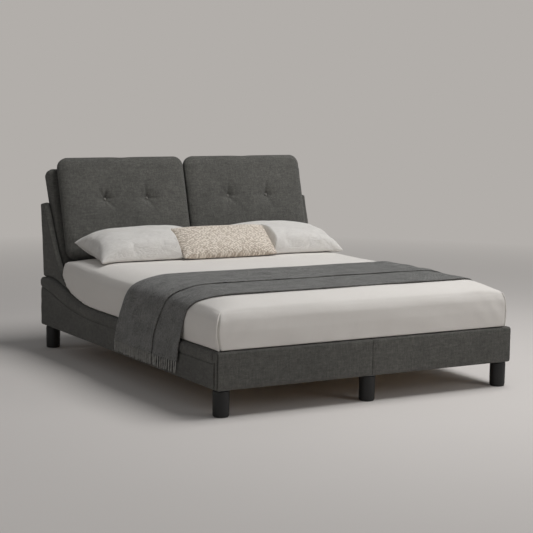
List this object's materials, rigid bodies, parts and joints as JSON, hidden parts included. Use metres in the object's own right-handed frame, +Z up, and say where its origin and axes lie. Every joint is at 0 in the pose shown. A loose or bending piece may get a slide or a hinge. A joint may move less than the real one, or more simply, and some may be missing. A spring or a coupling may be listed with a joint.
{
  "type": "upholstered bed with mattress and bedding",
  "caption": "Upholstered double bed with a leaning two-cushion headboard, swooping side wings, slatted base, mattress, pillows, lumbar cushion and folded throw.",
  "frame": {"origin": "on the floor under the middle of the whole bed", "axes": "+X to the right seen from the foot, +Y from the foot to the head, +Z up"},
  "size_m": [1.944, 2.3566, 1.2076],
  "materials": {
    "upholstery_cloth": "woven, warm dark grey",
    "frame_board": "raw particle board",
    "plywood": "sanded birch plywood",
    "pine": "planed pine",
    "back_lining": "black non-woven lining on hardboard",
    "beech": "laminated beech",
    "black_leg": "satin black",
    "zinc_steel": "zinc plated",
    "cap_plastic": "black moulded",
    "glide_felt": "dense felt",
    "mattress_ticking": "knitted ticking",
    "sheet_cotton": "smooth off-white cotton",
    "pillow_cotton": "smooth off-white cotton",
    "throw_wool": "dark grey woven wool",
    "lumbar_knit": "cream chunky weave"
  },
  "bodies": {
    "bed_frame": {"beam_leg_front": "black_leg", "beam_leg_rear": "black_leg", "beam_rest_block": "pine", "centre_beam": "pine", "corner_blocks": "pine", "cushion_base_boards": "plywood", "cushion_bolts": "zinc_steel", "cushion_buttons": "upholstery_cloth", "foot_board_left": "frame_board", "foot_board_right": "frame_board", "foot_cover_left": "upholstery_cloth", "foot_cover_right": "upholstery_cloth", "foot_splice_block": "pine", "frame_bolts": "zinc_steel", "head_cross_rail": "frame_board", "headboard_back_panel": "back_lining", "headboard_board": "plywood", "headboard_bolts": "zinc_steel", "headboard_bottom_rail": "pine", "headboard_cover": "upholstery_cloth", "headboard_cushion_left": "upholstery_cloth", "headboard_cushion_right": "upholstery_cloth", "headboard_gusset_left": "plywood", "headboard_gusset_right": "plywood", "headboard_middle_rail": "pine", "headboard_stile_left": "pine", "headboard_stile_right": "pine", "headboard_top_rail": "pine", "leg_foot_centre": "black_leg", "leg_foot_left": "black_leg", "leg_foot_right": "black_leg", "leg_glides": "glide_felt", "leg_head_left": "black_leg", "leg_head_right": "black_leg", "leg_plates": "zinc_steel", "rear_board": "frame_board", "rear_cover": "upholstery_cloth", "side_board_left": "frame_board", "side_board_right": "frame_board", "side_cover_left": "upholstery_cloth", "side_cover_right": "upholstery_cloth", "side_roll_left": "upholstery_cloth", "side_roll_right": "upholstery_cloth", "slat_centre_caps": "cap_plastic", "slat_end_caps": "cap_plastic", "slat_ledger_left": "pine", "slat_ledger_right": "pine", "slats": "beech", "wing_board_left": "plywood", "wing_board_right": "plywood", "wing_cover_left": "upholstery_cloth", "wing_cover_right": "upholstery_cloth"},
    "mattress": {"mattress": "mattress_ticking", "fitted_sheet": "sheet_cotton"},
    "throw": {"throw_blanket": "throw_wool", "throw_fringe": "throw_wool"},
    "pillows": {"pillow_left": "pillow_cotton", "pillow_right": "pillow_cotton"},
    "lumbar_cushion": {"lumbar_cushion": "lumbar_knit"}
  },
  "joints": [
    {"name": "mattress_lift", "type": "slide", "parent": "bed_frame", "child": "mattress", "axis": [0, 0, 1], "range_m": [0, 0.3]},
    {"name": "throw_lift", "type": "slide", "parent": "mattress", "child": "throw", "axis": [0, 0, 1], "range_m": [0, 0.4]},
    {"name": "pillows_lift", "type": "slide", "parent": "mattress", "child": "pillows", "axis": [0, 0, 1], "range_m": [0, 0.3]},
    {"name": "lumbar_lift", "type": "slide", "parent": "pillows", "child": "lumbar_cushion", "axis": [0, -0.6293, 0.7771], "range_m": [0, 0.3]}
  ]
}
